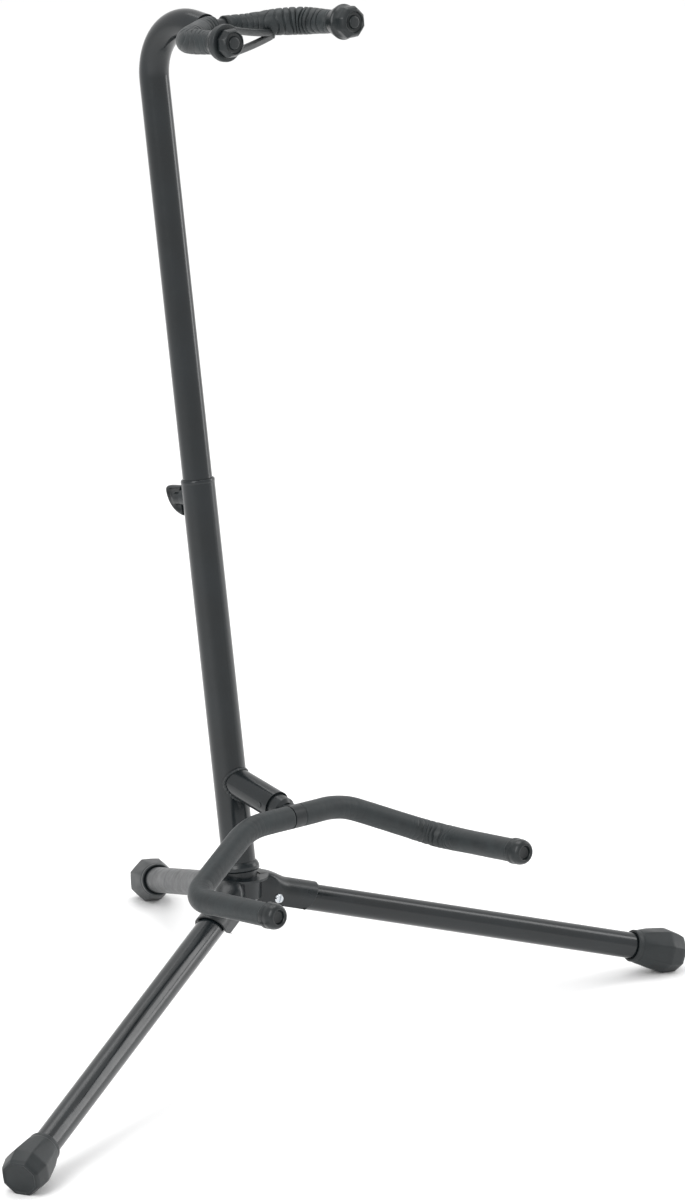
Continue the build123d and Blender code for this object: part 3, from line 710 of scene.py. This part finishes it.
def makeBracket(leg, turn, s):
    # Across the sheet, t runs from -1 at one cheek's foot to 1 at the other's. The section is
    # a sine and a cosine raised to a power, with straight cheeks below: a low power gives the
    # box at the hub, a power of 1 the half round further out. The top starts level with the
    # hub plate and the neck starts narrow, and both follow smooth steps along the leg.
    origin, up, flank, out = legAxes(turn)
    slope = math.radians(stand["legSlope"])
    t = np.linspace(-1, 1, 61)[None]
    along = np.linspace(0, 1, 90)[:, None]
    arcShare = 0.5 * math.pi * s["radius"] / (0.5 * math.pi * s["radius"] + s["cheek"])
    sweep = np.clip(np.abs(t) / arcShare, 0, 1) * math.pi / 2
    down = np.clip((np.abs(t) - arcShare) / (1 - arcShare), 0, 1) * s["cheek"]
    z = s["start"] + (s["length"] - s["start"]) * along
    widen = ease((z - s["start"]) / (s["neckTo"] - s["start"]))
    swell = ease((z - s["start"]) / (s["swellTo"] - s["start"]))
    level = (s["plateTop"] + z * math.sin(slope)) / math.cos(slope)
    power = s["boxPower"] + (1 - s["boxPower"]) * swell
    top = level + (s["radius"] - level) * swell
    half = s["neck"] + (s["radius"] - s["neck"]) * widen
    x = top * np.cos(sweep) ** power - down
    y = np.sign(t) * half * np.sin(sweep) ** power
    # the free end slants back towards the cheeks' feet, with its corners rounded
    depth = np.clip((s["radius"] - x) / (s["radius"] + s["cheek"]), 0, 1)
    z = z - (s["cutBack"] * depth + s["cornerBack"] * depth ** 8) * along ** 6
    grid = origin + mm * (x[:, :, None] * up + y[:, :, None] * flank
                          + (z * np.ones_like(t))[:, :, None] * out)
    rows, cols = grid.shape[:2]
    # the inner side follows the outer one, a wall's thickness in along the normals
    du, dv = np.gradient(grid, axis=0), np.gradient(grid, axis=1)
    normal = unit(np.cross(du, dv))
    if np.sum(normal[rows // 2, cols // 2] * up) < 0:
        normal = -normal
    inner = grid - normal * s["wall"] * mm
    ring = np.concatenate([grid, inner[:, ::-1]], axis=1)
    # each end is closed by folding its two sides onto their middle line
    outerSide, innerSide = ring[:, :cols], ring[:, cols:][:, ::-1]
    fold = ((outerSide + innerSide) / 2)[[0, -1]]
    fold = np.concatenate([fold, fold[:, ::-1]], axis=1)
    ring = np.concatenate([fold[:1], ring, fold[1:]], axis=0)
    makePiece("pressedBracket_" + leg, [(ring, False, True)], lugEnamel, "stand_base",
              ["leg_bracket_" + leg])


for leg, turn in stand["turns"].items():
    makeBracket(leg, turn, bracketSettings)
print("leg brackets made")

# The neck strap: one rubber moulding, a ring, two strands and a band round the sleeve.
strapSettings = {
    "ring": 13.6, "hole": 7.55, "thick": 5.0, "ringAt": 11.8, "strand": 5.0,
    "farAt": 37.0, "hug": 0.5, "hugLength": 5.0, "hugWall": 2.4, "sag": 1.0,
    "leave": 9.0, "leaveIn": 7.0, "pin": 6.0, "ringRound": 1.3, "hugRound": 0.8,
}


def roundedBar(route, width, thick, reference, power=0.45):
    # A bar along a route, closed to a point at both ends. Its section is a cosine and a sine
    # raised to a power: 1 gives an ellipse, and less than 1 a rounded rectangle.
    count = len(route)
    length = np.linalg.norm(np.diff(route, axis=0), axis=1).cumsum()[-1]
    spots, directions, _ = alongRoute(route, np.linspace(0, length, count))
    first, second = ringFrame(directions, reference)
    angle = np.linspace(0, 2 * math.pi, 40, endpoint=False)
    a = np.sign(np.cos(angle)) * np.abs(np.cos(angle)) ** power
    b = np.sign(np.sin(angle)) * np.abs(np.sin(angle)) ** power
    u = np.linspace(-1, 1, count)
    close = np.sqrt(np.clip(1 - np.clip((np.abs(u) - 0.94) / 0.06, 0, 1) ** 2, 0, 1))
    return (spots[:, None]
            + close[:, None, None] * (a[None, :, None] * first[:, None] * width / 2 * mm
                                      + b[None, :, None] * second[:, None] * thick / 2 * mm))


def bandGrid(origin, axis, reference, inner, outer, half, rounding):
    # a ring of rounded rectangular section: its outline closed on itself, turned round the axis
    corners = [(inner, 0), (inner, half), (outer, half), (outer, -half), (inner, -half),
               (inner, 0)]
    profile = smoothProfile(corners, rounding, perCorner=6, perRun=2)[:-1]
    return turnedGrid(origin, axis, reference, profile, plainRadius)


def makeStrap(s):
    tip, axis, up = armTip(neckSleeve, yokePlace, -1)
    centre = tip + axis * s["ringAt"] * mm
    middle, corner = (yokePlace(a, b, c) for a, b, c in neckSleeve["route"][:2])
    halfFlat, halfWidth = neckSleeve["route"][0][2], neckSleeve["route"][1][2]
    share = (s["farAt"] - halfFlat) / (halfWidth - halfFlat)
    far = middle + (corner - middle) * share
    across = unit(far - centre)
    lift = unit(np.cross(np.cross(across, up), across))
    hugRadius = neckSleeve["outer"] / 2 + s["hug"]
    knuckle = far - mm * (hugRadius * 0.25 * across + (hugRadius - 0.2) * lift)
    surfaces = [
        (bandGrid(centre, axis, up, s["hole"], s["ring"], s["thick"] / 2, s["ringRound"]),
         True, True),
        (bandGrid(far, unit(corner - middle), up, hugRadius - s["hugWall"], hugRadius,
                  s["hugLength"] / 2, s["hugRound"]), True, True),
    ]
    for top in (1, -1):
        a = centre + mm * (top * lift * s["leave"] + across * s["leaveIn"])
        b = knuckle + mm * (lift * top * 1.0 + across * 1.0)
        t = np.linspace(0, 1, 60)[:, None]
        route = a + (b - a) * t - lift * mm * s["sag"] * 4 * t * (1 - t)
        surfaces.append((roundedBar(route, s["strand"], s["thick"] * 0.9, lift), False, True))
    t = np.linspace(-1, 1, 40)[:, None]
    pin = knuckle + t * unit(np.cross(across, lift)) * mm * s["thick"] / 2
    surfaces.append((roundedBar(pin, s["pin"], s["pin"], lift, 1.0), False, True))
    makePiece("neckBand", surfaces, mouldedRubber, "upper_mast", ["neck_strap"])


makeStrap(strapSettings)
print("neck strap made")

# The wing screw's plastic wing: a raised rim round a recessed face, on a round hub.
wingSettings = {
    "lockAlong": 290.8, "base": 17.8, "radius": 21.4, "rise": 8.0, "thick": 7.0,
    "sunk": 3.0,              # the disc's centre, in from its square edge
    "lip": 2.0,               # its level top, above the centre
    "middle": (-5.5, 7.5),    # the face's middle, up and back from the centre
    "corner": 6,              # a higher power makes a sharper corner
    "hub": 5.0, "hubLength": 9.0,
    # from the middle of a face to its rim: share of the way out, and share of half the thickness
    "out": [0, 0.35, 0.62, 0.70, 0.74, 0.79, 0.86, 0.93, 0.98, 1.0],
    "face": [0.4, 0.4, 0.4, 0.45, 0.85, 0.99, 0.93, 0.72, 0.4, 0],
}


def makeWing(s):
    mastUp, back = mastAxes()
    side = np.array([1.0, 0, 0])
    origin = mastPlace(s["lockAlong"])
    # outline in the plane of the mast: a disc, cut level along its top and square at the boss
    centreUp, centreBack = s["rise"], s["base"] - s["sunk"]
    topUp, nearBack = s["rise"] + s["lip"], s["base"]
    middle = np.array([centreUp + s["middle"][0], centreBack + s["middle"][1]])
    angle = np.linspace(0, 2 * math.pi, 160, endpoint=False)
    ray = np.stack([np.cos(angle), np.sin(angle)], 1)
    gap = middle - np.array([centreUp, centreBack])
    along = ray @ gap
    toDisc = -along + np.sqrt(along ** 2 - gap @ gap + s["radius"] ** 2)
    with np.errstate(divide="ignore"):
        toTop = np.where(ray[:, 0] > 1e-6, (topUp - middle[0]) / ray[:, 0], 1e3)
        toNear = np.where(ray[:, 1] < -1e-6, (nearBack - middle[1]) / ray[:, 1], 1e3)
    stack = np.stack([toDisc, toTop, toNear])
    # a soft minimum, the sum of negative powers, rounds the corners
    reach = (stack ** -s["corner"]).sum(0) ** (-1 / s["corner"])
    # from the middle of one face out over the rim to the middle of the other
    out = np.array(s["out"])
    rise = s["thick"] / 2 * np.array(s["face"])
    share = np.concatenate([out, out[::-1][1:]])
    height = np.concatenate([rise, -rise[::-1][1:]])
    plane = middle + share[:, None, None] * reach[None, :, None] * ray[None]
    grid = origin + mm * (plane[:, :, :1] * mastUp + plane[:, :, 1:] * back
                          + height[:, None, None] * side)
    hubOutline = [(0, 0), (s["hub"] - 0.6, 0), (s["hub"], 0.6), (s["hub"], s["hubLength"] - 1),
                  (s["hub"] - 1, s["hubLength"]), (0, s["hubLength"])]
    hub = turnedGrid(origin + back * s["base"] * mm, back, mastUp, smoothProfile(hubOutline, 0.5),
                     plainRadius, 48)
    makePiece("lockWing", [(grid, False, True), (hub, False, True)], mouldedAbs, "lock",
              ["lock_knob"])


makeWing(wingSettings)
print("lock wing made")

# Weld bead where the cradle's strut meets the mast.
weldSettings = {"strutAlong": 82.0, "bar": (60.0, 67.8), "strut": 11.0, "mast": 12.9,
                "bead": 1.35, "ripple": 0.2, "ripples": 34, "uneven": 0.12}


def makeWeld(s):
    # The strut's circle pushed along the strut until it meets the mast's round side; the
    # bead is a circle carried round that curve, its radius rippled by a sine.
    mastUp, _ = mastAxes()
    start = mastPlace(s["strutAlong"])
    forward = unit(hubPlace(*s["bar"]) - start)
    angle = np.linspace(0, 2 * math.pi, 240, endpoint=False)
    first, second = ringFrame(forward[None], np.array([0, 0, 1.0]))
    ring = mm * s["strut"] * (np.cos(angle)[:, None] * first + np.sin(angle)[:, None] * second)
    # distance t along the strut where the point is one mast radius from the mast's line
    across = forward - mastUp * (forward @ mastUp)
    offset = ring - mastUp * (ring @ mastUp)[:, None]
    a = across @ across
    b = offset @ across
    c = (offset * offset).sum(1) - (s["mast"] * mm) ** 2
    t = (-b + np.sqrt(b * b - a * c)) / a
    seam = start + ring + forward * t[:, None]
    direction = unit(np.roll(seam, -1, axis=0) - np.roll(seam, 1, axis=0))
    outward = unit(ring)
    side = np.cross(direction, outward)
    beadAngle = np.linspace(0, 2 * math.pi, 16, endpoint=False)
    radius = mm * (s["bead"] + s["ripple"] * np.sin(s["ripples"] * angle)
                   + s["uneven"] * waveNoise(77, 6 * np.cos(angle), 6 * np.sin(angle)))
    around = (np.cos(beadAngle)[None, :, None] * outward[:, None]
              + np.sin(beadAngle)[None, :, None] * side[:, None])
    grid = seam[:, None] + radius[:, None, None] * around
    makePiece("strutWeld", [(grid, True, True)], lugEnamel, "stand_base")


makeWeld(weldSettings)

# The lower tube's rim, rolled in where the upper tube slides.
rimSettings = {
    "along": 306.0, "round": 0.3,
    "outline": [(11.32, -2.0), (11.32, 0.1), (12.0, 0.55), (12.55, 0.1), (12.75, -1.2),
                (12.56, -2.6), (12.0, -2.6), (11.32, -2.0)],
}


def makeRim(s):
    # the outline is closed on itself and turned round the mast
    mastUp, _ = mastAxes()
    profile = smoothProfile(s["outline"], s["round"])[:-1]
    grid = turnedGrid(mastPlace(s["along"]), mastUp, np.array([1.0, 0, 0]), profile, plainRadius)
    makePiece("mastRim", [(grid, True, True)], tubeEnamel, "stand_base")


makeRim(rimSettings)
print("weld and rim made")
